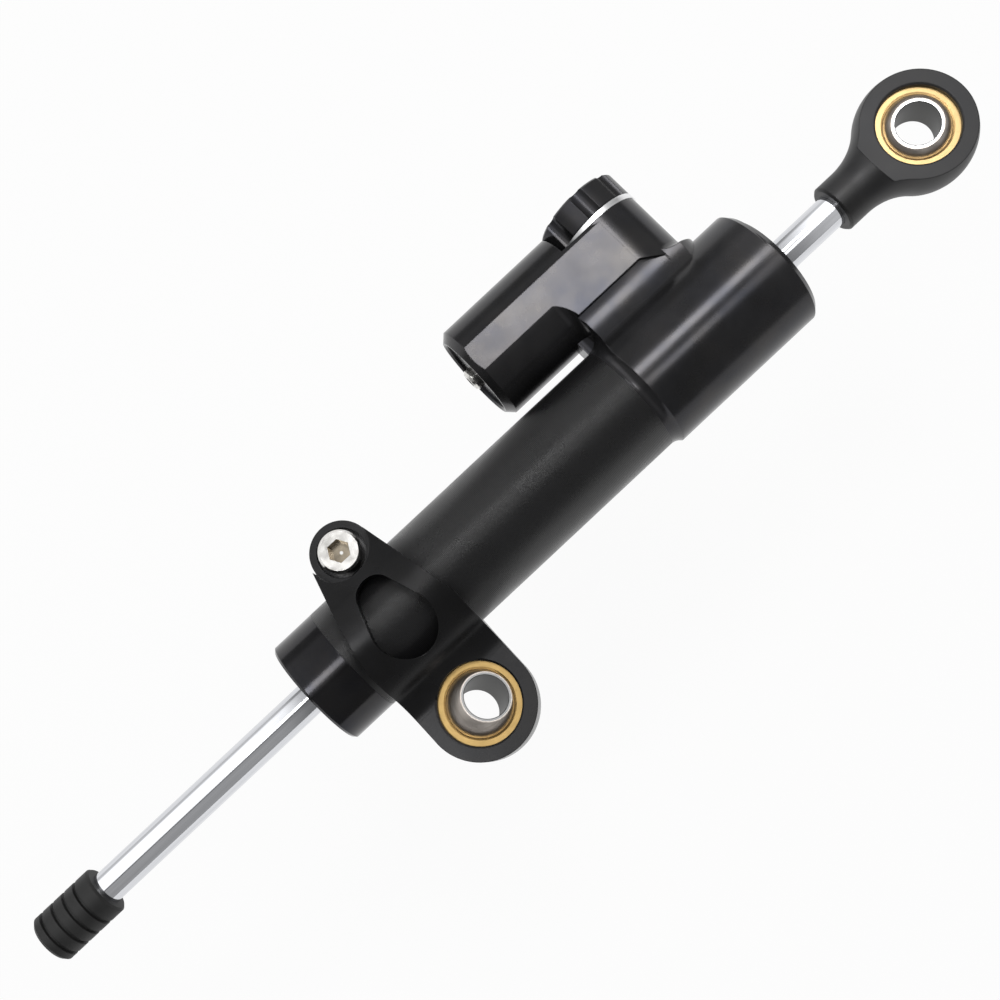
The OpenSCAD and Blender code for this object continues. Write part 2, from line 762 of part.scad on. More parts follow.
module clamp_window() {
  disc_at(window_small_y, window_small_r);
  taper_between(window_small_y, window_small_r, -window_large_y, window_large_r);
  disc_at(-window_large_y, window_large_r);
}

module clamp_section() {
  ring_r = tube_r + ring_wall;
  ear_y = screw_offset + ear_r + 1;
  ear_z = ear_t / 2;
  reach = sqrt(ear_y * ear_y + ear_z * ear_z);
  lean = atan2(ear_z, ear_y) + acos(ring_r / reach);
  eye_z = frame_eye_t / 2;
  blend_z = eye_z + ring_blend_r;
  blend_y = sqrt(pow(ring_r + ring_blend_r, 2) - blend_z * blend_z);
  touch = ring_r / (ring_r + ring_blend_r);
  far_y = eye_offset + frame_eye_r + 1;
  q = ring_r - tuck;
  bar_x(-clamp_reach, clamp_reach, ring_r);
  section_x(-clamp_reach, clamp_reach) polygon([
    [0, 0], [q * cos(lean), -q * sin(lean)], [ear_y, -ear_z],
    [ear_y, ear_z], [q * cos(lean), q * sin(lean)]
  ]);
  difference() {
    section_x(-clamp_reach, clamp_reach) polygon([
      [-far_y, -eye_z], [-blend_y, -eye_z], [-blend_y * touch, -blend_z * touch],
      [0, 0], [-blend_y * touch, blend_z * touch], [-blend_y, eye_z], [-far_y, eye_z]
    ]);
    for (side = [-1, 1])
      translate([0, -blend_y, side * (blend_z + tuck)])
        bar_x(-clamp_reach - 1, clamp_reach + 1, ring_blend_r);
  }
}

module clamp() color(anodised_black) on_axis() difference() {
  intersection() {
    clamp_section();
    clamp_plan();
  }
  bar_x(-2 * waist_r, 2 * waist_r, tube_r + run_gap);
  clamp_window();
  translate([-2 * waist_r, 0, -split_w / 2])
    cube([4 * waist_r, 2 * screw_offset, split_w]);
  translate([0, screw_offset, 0]) {
    for (side = [0, 180]) rotate([side, 0, 0])
      translate([0, 0, ear_t / 2]) cylinder(h = tube_r, r = ear_r + 0.1);
    translate([0, 0, ear_t / 2 - pinch_sink]) cylinder(h = tube_r, d = pinch_head_d + 1.6);
    cylinder(h = tube_r, d = pinch_d + 0.4);
    translate([0, 0, -tube_r]) cylinder(h = tube_r, d = pinch_d + 2 * seat_gap);
  }
  translate([0, -eye_offset, 0]) {
    cylinder(h = 2 * tube_r, r = race_r + seat_gap, center = true);
    for (side = [0, 180]) rotate([side, 0, 0])
      translate([0, 0, frame_eye_t / 2 - 0.4]) cylinder(h = 0.5, r1 = race_r, r2 = race_r + 0.5);
  }
}

module pinch_screw() {
  head_z = ear_t / 2 - pinch_sink;
  edge = 0.5;
  color(chrome_grey) on_axis() translate([0, screw_offset, 0]) difference() {
    union() {
      translate([0, 0, head_z]) cylinder(h = pinch_head_h - edge, d = pinch_head_d);
      translate([0, 0, head_z + pinch_head_h - edge])
        cylinder(h = edge, d1 = pinch_head_d, d2 = pinch_head_d - 2 * edge);
      translate([0, 0, 1 - ear_t / 2]) cylinder(h = head_z + ear_t / 2, d = pinch_d);
    }
    translate([0, 0, head_z + pinch_head_h - 3])
      cylinder(h = 4, d = 0.56 * pinch_head_d, $fn = 6);
  }
}

// Adjuster: knob, bright ring, click ball and the needle valve below them
module adjuster_knob() color(anodised_black) on_axis() difference() {
  union() {
    bar_y(boss_x, knob_low, knob_top - 0.5, knob_r);
    along_y(boss_x, knob_top - 0.5) cylinder(h = 0.5, r1 = knob_r, r2 = knob_r - 0.5);
  }
  for (i = [0:knob_notches - 1])
    along_y(boss_x, knob_low - 1) rotate([0, 0, i * 360 / knob_notches])
      translate([knob_r + notch_r - notch_depth, 0, 0]) cylinder(h = knob_h + 2, r = notch_r);
  bar_y(boss_x, knob_low - 1, spindle_top, spindle_d / 2 + seat_gap);
  bar_y(boss_x, dish_floor, knob_top + 1, 0.62 * knob_r);
  bar_y(boss_x, spindle_top - 1, dish_floor + 1, 1.6);
  click_place(knob_low - 1) cylinder(h = click_hole_top - knob_low + 1, d = click_ball_d + 2 * run_gap);
}

// The ball stands on the land between two dimples
module click_place(y) {
  along_y(boss_x, y) rotate([0, 0, 180 / clicks]) translate([click_circle_r, 0, 0]) children();
}

module click_ball() color(chrome_grey) on_axis()
  click_place(boss_h + ring_t + seat_gap + click_ball_d / 2) sphere(d = click_ball_d, $fn = 48);

click_wire_r = 0.2;

module click_spring() {
  low = boss_h + ring_t + seat_gap + click_ball_d;
  color(steel_grey) on_axis() click_place(low)
    coil(click_ball_d / 2 - 0.35, click_wire_r, 2, click_hole_top - low);
}

module knob_ring() color(bare_alloy) on_axis() difference() {
  bar_y(boss_x, ring_low, ring_low + ring_t, ring_d / 2);
  bar_y(boss_x, ring_low - 1, ring_low + ring_t + 1, spindle_d / 2 + run_gap);
  for (i = [0:clicks - 1])
    along_y(boss_x, ring_low + ring_t) rotate([0, 0, i * 360 / clicks])
      translate([click_circle_r, 0, 0.7]) sphere(r = 1, $fn = 32);
}

module knob_screw() color(steel_grey) on_axis() difference() {
  union() {
    bar_y(boss_x, dish_floor, knob_top - 0.1, 2.75);
    bar_y(boss_x, spindle_top - 3.2, dish_floor, 1.5);
  }
  along_y(boss_x, dish_floor + 0.6) cylinder(h = 2, r = 1.15, $fn = 6);
}

module valve_body() color(brass_gold) on_axis() difference() {
  bar_y(boss_x, valve_foot, boss_h, valve_r);
  bar_y(boss_x, valve_foot - 1, boss_h, 0.3 * needle_d);
  bar_y(boss_x, valve_foot + seat_t, boss_h + 1, needle_d / 2 + run_gap);
  bar_y(boss_x, spindle_low - 0.1, boss_h + 1, spindle_recess_r + run_gap);
  along_y(boss_x, valve_foot + 3) difference() {
    cylinder(h = 2.6, r = valve_r + 1);
    translate([0, 0, -1]) cylinder(h = 5, r = valve_r - 1);
  }
  for (turn = [0:90:270])
    along_y(boss_x, valve_foot + 4.3) rotate([0, 90, turn]) cylinder(h = valve_r + 1, r = 0.9);
}

module valve_needle() color(steel_grey) on_axis() {
  taper = valve_foot + seat_t;
  bar_y(boss_x, needle_low, taper + 0.01, needle_tip_d / 2);
  along_y(boss_x, taper) cylinder(h = needle_guide_low - taper, r1 = needle_tip_d / 2, r2 = 0.36 * needle_d);
  bar_y(boss_x, needle_guide_low, needle_shoulder, needle_d / 2);
  bar_y(boss_x, needle_shoulder - 0.5, needle_shoulder + 4, needle_stem_r);
}

module valve_spindle() color(steel_grey) on_axis() difference() {
  union() {
    bar_y(boss_x, spindle_low, spindle_low + flange_t, spindle_recess_r);
    bar_y(boss_x, spindle_low + flange_t - 0.5, spindle_top, spindle_d / 2);
  }
  bar_y(boss_x, spindle_low - 1, needle_shoulder + 5.6, needle_stem_r + run_gap);
  bar_y(boss_x, spindle_top - 3.4, spindle_top + 1, 1.5 + seat_gap);
}

module spindle_oring() {
  low = spindle_low + flange_t;
  section_r = 0.9;
  color(rubber_black) on_axis() along_y(boss_x, low + section_r + 0.05)
    oring(spindle_d / 2 + section_r + 0.06, section_r);
}

// Reservoir: plug, bleed screw and the spring-loaded compensating piston
module reservoir_plug() color(anodised_black) on_axis() translate([0, reservoir_y, 0]) difference() {
  bar_x(plug_x, spring_x, plug_r);
  bar_x(plug_x - 1, spring_x + 1, 1.5 + seat_gap);
  along_x(plug_x + plug_t / 2 - 0.9) difference() {
    cylinder(h = 1.8, r = plug_r + 1);
    translate([0, 0, -1]) cylinder(h = 4, r = plug_r - 1.3);
  }
  for (side = [-1, 1])
    translate([0, side * 0.68 * plug_r, 0]) bar_x(plug_x - 1, plug_x + 2, 0.9);
}

module plug_oring() color(rubber_black) on_axis() translate([0, reservoir_y, 0])
  along_x(plug_x + plug_t / 2) oring(plug_r - 0.62, 0.6);

module bleed_screw() {
  head_h = 2.4;
  color(chrome_grey) on_axis() translate([0, reservoir_y, 0]) difference() {
    union() {
      along_x(plug_x - head_h) cylinder(h = 0.6, r1 = 2.1, r2 = 2.75);
      bar_x(plug_x - head_h + 0.6, plug_x, 2.75);
      bar_x(plug_x - 0.5, spring_x - 0.5, 1.5);
    }
    along_x(plug_x - head_h - 1) cylinder(h = 2.4, r = 1.45, $fn = 6);
  }
}

module compensator_piston() color(bare_alloy) on_axis() translate([0, reservoir_y, 0]) difference() {
  bar_x(comp_x, comp_x + comp_len, chamber_r - 2 * run_gap);
  bar_x(comp_x - 1, comp_x + comp_len / 2, 0.55 * chamber_r);
  sleeve_x(comp_x + comp_len / 2 - 1, comp_x + comp_len / 2 + 1, chamber_r + 1, chamber_r - 1.4);
}

module compensator_ring() color(rubber_black) on_axis() translate([0, reservoir_y, 0])
  sleeve_x(comp_x + comp_len / 2 - 1, comp_x + comp_len / 2 + 1,
    chamber_r - run_gap, chamber_r - 1.4 + seat_gap);

module compensator_spring() color(steel_grey) on_axis() translate([0, reservoir_y, 0])
  along_x(spring_x + 0.05)
    coil(0.78 * chamber_r, comp_wire / 2, comp_turns, comp_x - spring_x - 0.1);

housing();
cylinder_tube();
inner_cylinder();
gland_cap();
lower_bush();
lower_seal();
lower_wiper();
lower_retainer();
upper_bush();
upper_seal();
upper_wiper();
upper_retainer();
cap_oring();
housing_oring();
piston_rod();
piston();
piston_ring();
piston_retainers();
end_stop();
rod_eye();
rod_race();
rod_ball();
clamp();
frame_race();
frame_ball();
pinch_screw();
adjuster_knob();
knob_ring();
knob_screw();
click_ball();
click_spring();
valve_body();
valve_spindle();
valve_needle();
spindle_oring();
reservoir_plug();
plug_oring();
bleed_screw();
compensator_piston();
compensator_ring();
compensator_spring();
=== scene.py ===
import json
import math

import bpy
from mathutils import Matrix, Vector


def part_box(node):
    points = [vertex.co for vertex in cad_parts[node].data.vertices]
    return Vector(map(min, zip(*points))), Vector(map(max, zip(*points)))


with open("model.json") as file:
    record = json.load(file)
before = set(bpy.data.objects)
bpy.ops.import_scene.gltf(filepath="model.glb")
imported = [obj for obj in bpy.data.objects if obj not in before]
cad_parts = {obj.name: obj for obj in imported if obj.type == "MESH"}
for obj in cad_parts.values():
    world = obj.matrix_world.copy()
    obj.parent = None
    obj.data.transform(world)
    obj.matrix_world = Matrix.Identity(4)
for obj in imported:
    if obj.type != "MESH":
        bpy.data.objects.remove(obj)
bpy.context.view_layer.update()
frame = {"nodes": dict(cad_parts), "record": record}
mounts = {m["name"]: m for m in frame["record"]["mounts"]}

MM = 0.001

# Directions: the photograph looks down on the damper, which is rolled a little about its own length
ROLL = math.radians(11.0)
ALONG = Vector((1, 0, 0))
ACROSS = Vector((0, math.cos(ROLL), math.sin(ROLL)))
TOWARDS = Vector((0, -math.sin(ROLL), math.cos(ROLL)))

# Camera: its place is measured from the rod's axis, above the middle of the frame eye
AXIS_Y = mounts["rod_bore"]["pos_m"][1]
CAMERA_X = 17.96 * MM
CAMERA_UP = 3.34 * MM
CAMERA_FAR = 320.4 * MM
IMAGE_TURN = (0.7304, 0.6830)
LENS_MM = 50.4
SENSOR_MM = 36.0
SHIFT = (0.0528, 0.0502)
CLIP = (0.01, 20.0)

# Places on the part that a material needs
BARREL_R = 15.1 * MM
BARREL_ENDS = (75 * MM, 114.6 * MM)
BARREL_BLEND = (15.4 * MM, 17.0 * MM)
PINCH_SOCKET_R = 2.9 * MM
RIDGE_PITCH = 0.33 * MM
WORN_EDGE = 0.15 * MM

# A band texture of scale 1 has this many waves in a metre
BAND_WAVES = 20 / (2 * math.pi)

# How much of the anodising's shine a stain takes away, in red, green and blue
STAIN_COOL = (0.42, 0.4, 0.28)
STAIN_WARM = (0.0, 0.05, 0.07)

# Room: its radiance, with more at the left and right ends, and a pale wall on the reservoir's side
ROOM, ROOM_LEFT, ROOM_RIGHT = 0.2, 0.3, 0.6
WALL, WALL_ENDS = 0.35, 1.1
SEAM_SHADE = 0.6
HORIZON_SHARE = 0.45

# Where the room changes. Each pair is where the change starts and where it ends, as how far a ray points
# across, along or towards the camera's side
WALL_EDGE = (0.0, 0.08)
SEAM_START, SEAM_END = (-0.1, -0.06), (0.0, 0.04)
RIGHT_START, RIGHT_END = (0.3, 0.34), (0.45, 0.6)
LEFT_START, LEFT_END = (-0.145, -0.165), (-0.45, -0.6)
HORIZON = (0.05, 0.3)

FLOOR_Z = -0.12
FLOOR_REACH = 6.0
FLOOR_WHITE = 0.93
LAMP_FAR = 1.0

# Lamps: how far each reaches across and along, from the middle of the view in metres, and its radiance
LAMPS = {
    "key": ((0.38, 0.64), (0.10, 0.52), 11.5),
    "front_left": ((-0.06, 0.11), (0.19, 0.33), 6.2),
    "front_right": ((-0.12, 0.15), (0.33, 0.5), 1.7),
    "tube_strip": ((0.15, 0.45), (0.03, 0.10), 2.2),
    "cap_strip": ((0.15, 0.34), (-0.28, -0.145), 10.5),
}


def placed(right, up, back, origin):
    """The matrix of an object whose own x, y and z point along right, up and back."""
    return Matrix((*zip(right, up, back, origin), (0, 0, 0, 1)))


def add_object(name, data):
    """A new object in the scene's own collection."""
    added = bpy.data.objects.new(name, data)
    bpy.context.scene.collection.objects.link(added)
    return added


def place_camera():
    """The photograph's camera: a near one that looks straight down the view's own axis."""
    data = bpy.data.cameras.new("camera")
    data.lens = LENS_MM
    data.sensor_width = SENSOR_MM
    data.shift_x, data.shift_y = SHIFT
    data.clip_start, data.clip_end = CLIP
    camera = add_object("camera", data)
    right = ALONG * IMAGE_TURN[0] - ACROSS * IMAGE_TURN[1]
    up = ALONG * IMAGE_TURN[1] + ACROSS * IMAGE_TURN[0]
    origin = Vector((CAMERA_X, AXIS_Y, 0)) + ACROSS * CAMERA_UP + TOWARDS * CAMERA_FAR
    camera.matrix_world = placed(right, up, TOWARDS, origin)
    bpy.context.scene.camera = camera


class Nodes:
    """A short way to build the node tree of a material or a world."""

    def __init__(self, owner, output="ShaderNodeOutputMaterial"):
        owner.use_nodes = True
        self.owner = owner
        self.tree = owner.node_tree
        self.tree.nodes.clear()
        self.out = self.add(output)

    def add(self, kind, **settings):
        node = self.tree.nodes.new(kind)
        for key, value in settings.items():
            setattr(node, key, value)
        return node

    def join(self, source, target):
        self.tree.links.new(source, target)

    def put(self, value, socket):
        """Set a socket to a number or a tuple, or join another node's output to it."""
        if isinstance(value, (int, float, tuple)):
            socket.default_value = value
        else:
            self.join(value, socket)

    def shader(self, color, metallic, roughness, **sockets):
        """A surface; a further socket is named with underscores for its spaces."""
        node = self.add("ShaderNodeBsdfPrincipled")
        node.inputs["Base Color"].default_value = (*color, 1)
        node.inputs["Metallic"].default_value = metallic
        node.inputs["Roughness"].default_value = roughness
        for key, value in sockets.items():
            node.inputs[key.replace("_", " ")].default_value = value
        self.join(node.outputs[0], self.out.inputs["Surface"])
        return node

    def place(self):
        """Where a point lies in the part's frame, in metres."""
        return self.add("ShaderNodeTexCoord").outputs["Object"]

    def parts(self, vector):
        """The X, Y and Z of a vector."""
        node = self.add("ShaderNodeSeparateXYZ")
        self.join(vector, node.inputs[0])
        return node.outputs

    def coordinates(self, scale=(1, 1, 1)):
        """The place, multiplied by scale, so that a texture on it is finer along the larger one."""
        node = self.add("ShaderNodeMapping")
        node.inputs["Scale"].default_value = scale
        self.join(self.place(), node.inputs["Vector"])
        return node.outputs["Vector"]

    def noise(self, vector, scale, detail=3.0, roughness=0.55):
        node = self.add("ShaderNodeTexNoise")
        node.inputs["Scale"].default_value = scale
        node.inputs["Detail"].default_value = detail
        node.inputs["Roughness"].default_value = roughness
        self.join(vector, node.inputs["Vector"])
        return node.outputs["Fac"]

    def map_range(self, value, start, end, low, high, **settings):
        node = self.add("ShaderNodeMapRange", **settings)
        for key, number in zip(("From Min", "From Max", "To Min", "To Max"), (start, end, low, high)):
            node.inputs[key].default_value = number
        self.join(value, node.inputs["Value"])
        return node.outputs["Result"]

    def ramp(self, value, start, end, low=0.0, high=1.0):
        """A smooth step from low at start to high at end."""
        return self.map_range(value, start, end, low, high, interpolation_type="SMOOTHSTEP")

    def spread(self, value, low=0.0, high=1.0):
        """Stretch the middle of a noise, which rarely leaves it, from low to high."""
        return self.map_range(value, 0.3, 0.7, low, high)

    def math(self, operation, first, second):
        node = self.add("ShaderNodeMath", operation=operation)
        self.put(first, node.inputs[0])
        self.put(second, node.inputs[1])
        return node.outputs[0]

    def plus(self, first, second):
        return self.math("ADD", first, second)

    def times(self, first, second):
        return self.math("MULTIPLY", first, second)

    def blend(self, share, first, second):
        """Mix two colours, each a tuple or another node's output."""
        node = self.add("ShaderNodeMix", data_type="RGBA")
        self.join(share, node.inputs["Factor"])
        for key, value in (("A", first), ("B", second)):
            self.put((*value, 1) if isinstance(value, tuple) else value, node.inputs[key])
        return node.outputs["Result"]

    def mix_shaders(self, share, first, second):
        node = self.add("ShaderNodeMixShader")
        for value, socket in zip((share, first, second), node.inputs):
            self.join(value, socket)
        self.join(node.outputs[0], self.out.inputs["Surface"])

    def bump(self, height, distance, strength=1.0, under=None):
        """Normals that follow a height of that many metres, on top of the normals under it."""
        node = self.add("ShaderNodeBump")
        node.inputs["Distance"].default_value = distance
        node.inputs["Strength"].default_value = strength
        self.join(height, node.inputs["Height"])
        if under is not None:
            self.join(under, node.inputs["Normal"])
        return node.outputs["Normal"]

    def soft_edges(self, radius):
        """Normals that round every edge by a radius."""
        node = self.add("ShaderNodeBevel", samples=4)
        node.inputs["Radius"].default_value = radius
        return node.outputs["Normal"]

    def towards(self, way):
        """How far a ray into the world points one way, from -1 to 1."""
        node = self.add("ShaderNodeVectorMath", operation="DOT_PRODUCT")
        node.inputs[1].default_value = way
        self.join(self.add("ShaderNodeTexCoord").outputs["Generated"], node.inputs[0])
        return node.outputs["Value"]

    def from_axis(self, centre, axis):
        """Distance from a straight line through centre, in the part's frame."""
        offset = self.add("ShaderNodeVectorMath", operation="SUBTRACT")
        offset.inputs[1].default_value = centre
        self.join(self.place(), offset.inputs[0])
        cross = self.add("ShaderNodeVectorMath", operation="CROSS_PRODUCT")
        cross.inputs[1].default_value = axis
        self.join(offset.outputs["Vector"], cross.inputs[0])
        length = self.add("ShaderNodeVectorMath", operation="LENGTH")
        self.join(cross.outputs["Vector"], length.inputs[0])
        return length.outputs["Value"]

    def rounded(self, under, radius, ends, blend):
        """Turn the normal straight out from the cylinder's axis where a low rise leaves its round."""
        distance = self.from_axis((0, AXIS_Y, 0), (1, 0, 0))
        along, across, height = self.parts(self.place())
        near = self.times(
            self.ramp(distance, *blend, 1.0, 0.0),
            self.ramp(distance, radius - 0.1 * MM, radius),
        )
        reach = self.times(
            self.math("GREATER_THAN", along, ends[0]),
            self.math("LESS_THAN", along, ends[1]),
        )
        share = self.times(self.times(near, reach), self.math("GREATER_THAN", height, 0.0))
        out = self.add("ShaderNodeCombineXYZ")
        self.join(self.math("SUBTRACT", across, AXIS_Y), out.inputs["Y"])
        self.join(height, out.inputs["Z"])
        turned = self.add("ShaderNodeVectorTransform", vector_type="NORMAL")
        turned.convert_from, turned.convert_to = "OBJECT", "WORLD"
        self.join(out.outputs[0], turned.inputs[0])
        mix = self.add("ShaderNodeMix", data_type="VECTOR")
        for key, value in (("Factor", share), ("A", under), ("B", turned.outputs[0])):
            self.join(value, mix.inputs[key])
        return mix.outputs["Result"]


def new_material(name):
    return Nodes(bpy.data.materials.new(name))


def anodised(name, color=0.010, roughness=(0.17, 0.25), edge=0.3 * MM, stain=1.0, shine=0.5, barrel=None):
    """Black anodised alloy: faint turning marks, and handling stains that show in its shine."""
    n = new_material(name)
    shader = n.shader((color, color, color), 0.0, 0.2, Specular_IOR_Level=shine)
    turned = n.noise(n.coordinates((900, 8, 8)), 1.0, 2.0)
    mottle = n.noise(n.coordinates(), 90.0, 4.0)
    stains = n.noise(n.coordinates((1.0, 1.0, 1.6)), 75.0, 5.0, 0.62)
    n.join(n.spread(mottle, *roughness), shader.inputs["Roughness"])
    lighter = (color * 1.5, color * 1.5, color * 1.6)
    n.join(n.blend(n.spread(mottle), (color, color, color), lighter), shader.inputs["Base Color"])
    cool, warm = (tuple(1 - stain * c for c in lost) for lost in (STAIN_COOL, STAIN_WARM))
    n.join(n.blend(n.spread(stains), cool, warm), shader.inputs["Specular Tint"])
    normal = n.soft_edges(edge)
    if barrel:
        normal = n.rounded(normal, *barrel)
    n.join(n.bump(turned, 0.003 * MM, 1.0, normal), shader.inputs["Normal"])
    return n.owner


def turned_tube(name):
    """The same black over fine turned ridges, which spread its shine along the tube."""
    n = new_material(name)
    shader = n.shader((0.008, 0.008, 0.008), 0.0, 0.3)
    ridges = n.add("ShaderNodeTexWave", wave_type="BANDS", bands_direction="X")
    ridges.inputs["Scale"].default_value = 1 / (BAND_WAVES * RIDGE_PITCH)
    ridges.inputs["Distortion"].default_value = 0.0
    n.join(n.coordinates(), ridges.inputs["Vector"])
    height = ridges.outputs["Fac"]
    mottle = n.noise(n.coordinates(), 120.0, 4.0)
    n.join(n.spread(mottle, 0.24, 0.34), shader.inputs["Roughness"])
    # Painted shade: the ridges' crests are painted a little lighter and their grooves darker, standing in
    # for how the turned ridges catch the light.
    n.join(n.blend(height, (0.005, 0.005, 0.005), (0.014, 0.014, 0.015)), shader.inputs["Base Color"])
    n.join(n.bump(height, 0.06 * MM), shader.inputs["Normal"])
    return n.owner


def metal(name, color, roughness, scratches=(6, 300, 300)):
    """Bare metal with fine streaks; scratches gives how the streaks are stretched."""
    n = new_material(name)
    shader = n.shader(color, 1.0, roughness[0])
    streaks = n.noise(n.coordinates(scratches), 4.0, 3.0)
    mottle = n.noise(n.coordinates(), 160.0, 3.0)
    n.join(n.spread(mottle, *roughness), shader.inputs["Roughness"])
    darker = tuple(c * 0.86 for c in color)
    n.join(n.blend(n.spread(streaks), darker, color), shader.inputs["Base Color"])
    n.join(n.bump(streaks, 0.002 * MM, 1.0, n.soft_edges(WORN_EDGE)), shader.inputs["Normal"])
    return n.owner


def rubber(name, color, roughness=(0.5, 0.62)):
    """Matte moulded rubber with a fine grain."""
    n = new_material(name)
    shader = n.shader(color, 0.0, 0.55, Specular_IOR_Level=0.4)
    grain = n.noise(n.coordinates(), 2600.0, 2.0)
    mottle = n.noise(n.coordinates(), 140.0, 4.0)
    n.join(n.spread(mottle, *roughness), shader.inputs["Roughness"])
    lighter = tuple(c * 1.6 for c in color)
    n.join(n.blend(n.spread(mottle), color, lighter), shader.inputs["Base Color"])
    n.join(n.bump(grain, 0.01 * MM, 0.5, n.soft_edges(0.2 * MM)), shader.inputs["Normal"])
    return n.owner


def ball(name, mount):
    """A polished ball with a painted highlight on the thin face round its bore, and painted shade inside
    the bore.
    """
    n = new_material(name)
    shader = n.shader((0.5, 0.48, 0.45), 1.0, 0.2)
    distance = n.from_axis(mount["pos_m"], mount["axis"])
    bore = mount["dims"]["r_mm"] * MM
    # Painted shade: inside the bore the colour is nearly black, standing in for the shade in the hole; this
    # mask is 0 there.
    outside_bore_shade = n.ramp(distance, bore + 0.12 * MM, bore + 0.2 * MM)
    # Painted highlight: a thin band round the bore's edge is painted near white, standing in for the light
    # it catches.
    sphere = n.ramp(distance, bore + 0.5 * MM, bore + 0.6 * MM)
    streaks = n.noise(n.coordinates((60, 60, 600)), 4.0, 3.0)
    skin = n.blend(n.spread(streaks), (0.62, 0.56, 0.5), (0.78, 0.72, 0.67))
    skin_and_rim_highlight = n.blend(sphere, (0.86, 0.86, 0.86), skin)
    # Painted shade inside the bore, round it the skin with its painted rim highlight.
    n.join(n.blend(outside_bore_shade, (0.06, 0.06, 0.058), skin_and_rim_highlight), shader.inputs["Base Color"])
    roughness = n.plus(n.ramp(outside_bore_shade, 0.0, 1.0, 0.45, 0.15), n.times(sphere, 0.25))
    n.join(roughness, shader.inputs["Roughness"])
    n.join(n.bump(streaks, 0.002 * MM, 1.0, n.soft_edges(WORN_EDGE)), shader.inputs["Normal"])
    return n.owner


def socket_screw(name, centre, socket_r, top):
    """A plated screw whose socket is painted darker and browner as painted shade in the recess, with a
    painted highlight in its middle.
    """
    n = new_material(name)
    shader = n.shader((0.8, 0.79, 0.77), 1.0, 0.25)
    distance = n.from_axis(centre, (0, 0, 1))
    face = n.ramp(n.parts(n.place())["Z"], top - 0.15 * MM, top - 0.05 * MM)
    head = n.math("MAXIMUM", face, n.ramp(distance, socket_r + 0.1 * MM, socket_r + 0.2 * MM))
    # Painted highlight: a small near-white dot in the socket's middle, standing in for the light caught at
    # its bottom.
    highlight_dot_mask = n.ramp(distance, 0.3 * MM, 0.5 * MM)
    grain = n.noise(n.coordinates((80, 80, 80)), 4.0, 3.0)
    plated = n.blend(n.spread(grain), (0.74, 0.72, 0.69), (0.86, 0.85, 0.83))
    # Painted shade in the socket, with the painted highlight dot in its middle.
    socket = n.blend(highlight_dot_mask, (0.95, 0.95, 0.93), (0.36, 0.31, 0.24))
    n.join(n.blend(head, socket, plated), shader.inputs["Base Color"])
    n.join(n.spread(grain, 0.16, 0.26), shader.inputs["Roughness"])
    n.join(n.bump(grain, 0.002 * MM, 1.0, n.soft_edges(WORN_EDGE)), shader.inputs["Normal"])
    return n.owner


def make_materials():
    """One material for each slot of the record, and one for each piece with a look of its own."""
    low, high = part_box("pinch_screw")
    return {
        "anodised": anodised("anodised_black"),
        "housing": anodised("housing_black", barrel=(BARREL_R, BARREL_ENDS, BARREL_BLEND)),
        "cap": anodised("cap_black", 0.004, (0.12, 0.18)),
        "clamp": anodised("clamp_black", 0.005, (0.22, 0.3), stain=0.3, shine=0.3),
        "rod_eye": anodised("eye_black", 0.009, (0.38, 0.46), 0.4 * MM, 0.3),
        "knob": anodised("knob_black", 0.01, (0.24, 0.34)),
        "tube": turned_tube("tube_black"),
        "rubber": rubber("rubber_black", (0.012, 0.012, 0.012)),
        "seal": rubber("seal_green", (0.06, 0.2, 0.12)),
        "chrome": metal("rod_chrome", (0.74, 0.75, 0.78), (0.06, 0.11)),
        "frame_ball": ball("frame_ball_chrome", mounts["frame_bore"]),
        "rod_ball": ball("rod_ball_chrome", mounts["rod_bore"]),
        "steel": metal("ground_steel", (0.6, 0.6, 0.62), (0.25, 0.35)),
        "screw": metal("plated_screw", (0.76, 0.75, 0.72), (0.16, 0.26), (80, 80, 80)),
        "pinch": socket_screw("pinch_plated", (low + high) / 2, PINCH_SOCKET_R, high.z),
        "brass": metal("turned_brass", (0.34, 0.23, 0.09), (0.28, 0.4), (200, 200, 20)),
        "rod_race": metal("rod_race_brass", (0.66, 0.47, 0.22), (0.26, 0.38), (200, 200, 20)),
        "alloy": metal("bare_alloy", (0.78, 0.78, 0.8), (0.3, 0.4)),
        "ring": metal("bright_ring", (0.97, 0.97, 0.98), (0.3, 0.4), (40, 400, 40)),
    }


# Pieces whose look isn't their slot's
OWN_LOOK = {
    "housing": "housing",
    "cylinder_tube": "tube",
    "gland_cap": "cap",
    "clamp": "clamp",
    "rod_eye": "rod_eye",
    "frame_ball": "frame_ball",
    "rod_ball": "rod_ball",
    "rod_race": "rod_race",
    "pinch_screw": "pinch",
}


def dress_nodes():
    """Give each CAD node its own look, or that of its slot in the record."""
    materials = make_materials()
    slots = {s["node"]: s["material_slot"] for s in frame["record"]["subparts"]}
    for name, piece in frame["nodes"].items():
        piece.data.materials.clear()
        piece.data.materials.append(materials[OWN_LOOK.get(name, slots[name])])


def studio_floor():
    """A plain floor that keeps the shadow and shows nearly white to the camera and in reflections."""
    corners = [(FLOOR_REACH * x, FLOOR_REACH * y, FLOOR_Z) for x, y in ((-1, -1), (1, -1), (1, 1), (-1, 1))]
    mesh = bpy.data.meshes.new("studio_floor")
    mesh.from_pydata(corners, [], [(0, 1, 2, 3)])
    floor = add_object("studio_floor", mesh)
    n = new_material("pale_floor")
    lit = n.add("ShaderNodeBsdfDiffuse")
    lit.inputs["Color"].default_value = (0.8, 0.8, 0.8, 1)
    white = n.add("ShaderNodeEmission")
    path = n.add("ShaderNodeLightPath").outputs
    seen = n.math("MAXIMUM", path["Is Camera Ray"], path["Is Glossy Ray"])
    seen = n.math("MAXIMUM", seen, path["Is Transmission Ray"])
    n.mix_shaders(n.times(seen, FLOOR_WHITE), lit.outputs[0], white.outputs[0])
    mesh.materials.append(n.owner)


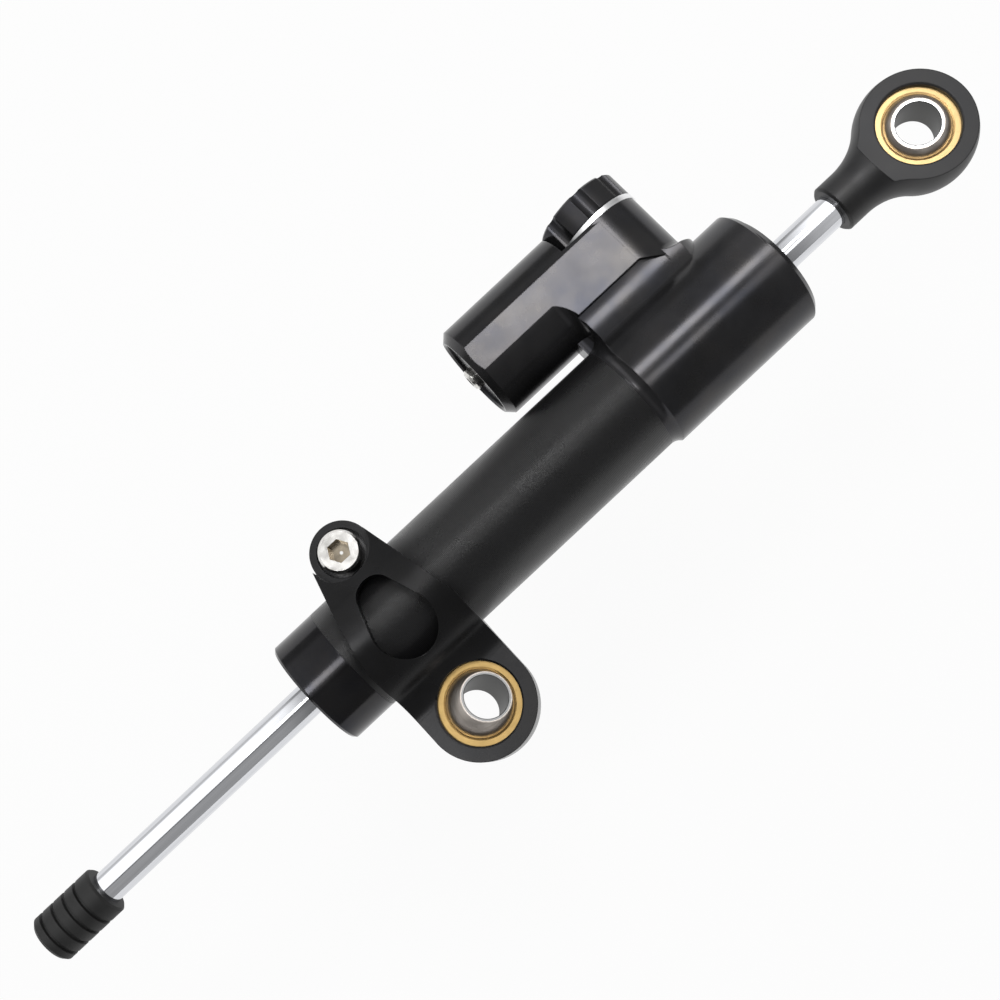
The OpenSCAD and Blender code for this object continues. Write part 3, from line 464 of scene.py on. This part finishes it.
def studio_world():
    """A dim room with a pale wall on the reservoir's side and brighter ends, white to the camera."""
    world = bpy.data.worlds.new("studio")
    bpy.context.scene.world = world
    n = Nodes(world, "ShaderNodeOutputWorld")
    across = n.towards(ACROSS)
    side = n.ramp(across, *WALL_EDGE)
    seam = n.math("SUBTRACT", n.ramp(across, *SEAM_START), n.ramp(across, *SEAM_END))
    along = n.towards(ALONG)
    right = n.times(n.ramp(along, *RIGHT_START), n.ramp(along, *RIGHT_END, 1.0, 0.0))
    left = n.times(n.ramp(along, *LEFT_START), n.ramp(along, *LEFT_END, 1.0, 0.0))
    horizon = n.ramp(n.towards(TOWARDS), *HORIZON, HORIZON_SHARE, 1.0)
    wall = n.plus(WALL, n.times(n.plus(left, right), WALL_ENDS))
    room = n.plus(ROOM, n.plus(n.times(left, ROOM_LEFT), n.times(right, ROOM_RIGHT)))
    level = n.times(n.plus(room, n.times(side, wall)), horizon)
    level = n.times(level, n.math("SUBTRACT", 1.0, n.times(seam, SEAM_SHADE)))
    soft = n.add("ShaderNodeBackground")
    n.join(level, soft.inputs["Strength"])
    white = n.add("ShaderNodeBackground")
    white.inputs["Color"].default_value = (1, 1, 1, 1)
    camera_ray = n.add("ShaderNodeLightPath").outputs["Is Camera Ray"]
    n.mix_shaders(camera_ray, soft.outputs[0], white.outputs[0])


def softbox(name, across_range, along_range, radiance):
    """A soft lamp above the damper, between two places across it and two along it."""
    data = bpy.data.lights.new(name, "AREA")
    data.shape = "RECTANGLE"
    data.size = along_range[1] - along_range[0]
    data.size_y = across_range[1] - across_range[0]
    data.energy = radiance * math.pi * data.size * data.size_y
    across, along = sum(across_range) / 2, sum(along_range) / 2
    middle = Vector((CAMERA_X, AXIS_Y, 0)) + ACROSS * across + ALONG * along + TOWARDS * LAMP_FAR
    add_object(name, data).matrix_world = placed(ALONG, ACROSS, TOWARDS, middle)


place_camera()
dress_nodes()
studio_floor()
studio_world()
for name, (across_range, along_range, radiance) in LAMPS.items():
    softbox(name, across_range, along_range, radiance)

bpy.context.scene.view_settings.view_transform = "Standard"
